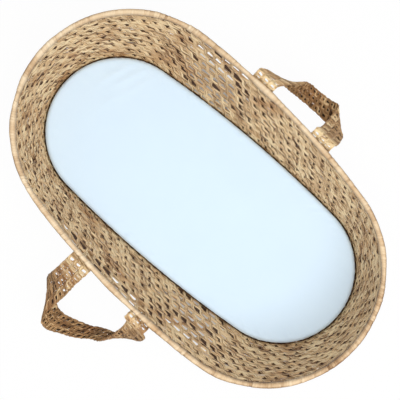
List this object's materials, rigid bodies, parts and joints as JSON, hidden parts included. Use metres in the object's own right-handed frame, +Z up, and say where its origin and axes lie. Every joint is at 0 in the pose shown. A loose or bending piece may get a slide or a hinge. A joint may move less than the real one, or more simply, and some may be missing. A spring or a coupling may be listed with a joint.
{
  "type": "moses basket",
  "caption": "Oval plaited palm-leaf moses basket with leaning walls, a wrapped rim, two drooping strap handles and a sheeted foam mattress.",
  "frame": {"origin": "middle of the base's underside, on the floor", "axes": "+X along the base's long axis, +Y towards the back handle, +Z up out of the mouth"},
  "size_m": [0.737, 0.6459, 0.2443],
  "materials": {
    "plait": "matte",
    "stems": "matte",
    "pale_leaf": "matte",
    "strap": "matte",
    "foam": "matte",
    "ticking": "matte",
    "sheet": "matte",
    "elastic": "matte"
  },
  "bodies": {
    "basket": {"base_centre": "plait", "base_turn_1": "plait", "base_turn_2": "plait", "base_turn_3": "plait", "base_turn_4": "plait", "base_turn_5": "plait", "base_turn_6": "plait", "wall_course_1": "plait", "wall_course_2": "plait", "wall_course_3": "plait", "wall_course_4": "plait", "wall_course_5": "plait", "wall_course_6": "plait", "wall_course_7": "plait", "wall_course_8": "plait", "wall_course_9": "plait", "wall_course_10": "plait", "rim_core": "stems", "rim_binding": "pale_leaf", "front_left_root": "pale_leaf", "front_right_root": "pale_leaf", "back_left_root": "pale_leaf", "back_right_root": "pale_leaf"},
    "front_strap": {"front_handle": "strap"},
    "back_strap": {"back_handle": "strap"},
    "mattress": {"mattress_foam": "foam", "mattress_cover": "ticking", "fitted_sheet": "sheet", "sheet_elastic": "elastic"}
  },
  "joints": [
    {"name": "front_handle_swing", "type": "hinge", "parent": "basket", "child": "front_strap", "pos_m": [-0.02185, -0.22392, 0.2353], "axis": [-0.9949, 0.1011, 0], "range_deg": [0, 165]},
    {"name": "back_handle_swing", "type": "hinge", "parent": "basket", "child": "back_strap", "pos_m": [0.02585, 0.22242, 0.2353], "axis": [0.9938, -0.1114, 0], "range_deg": [0, 180]},
    {"name": "mattress_lift", "type": "slide", "parent": "basket", "child": "mattress", "axis": [0, 0, 1], "range_m": [0, 0.26]}
  ]
}
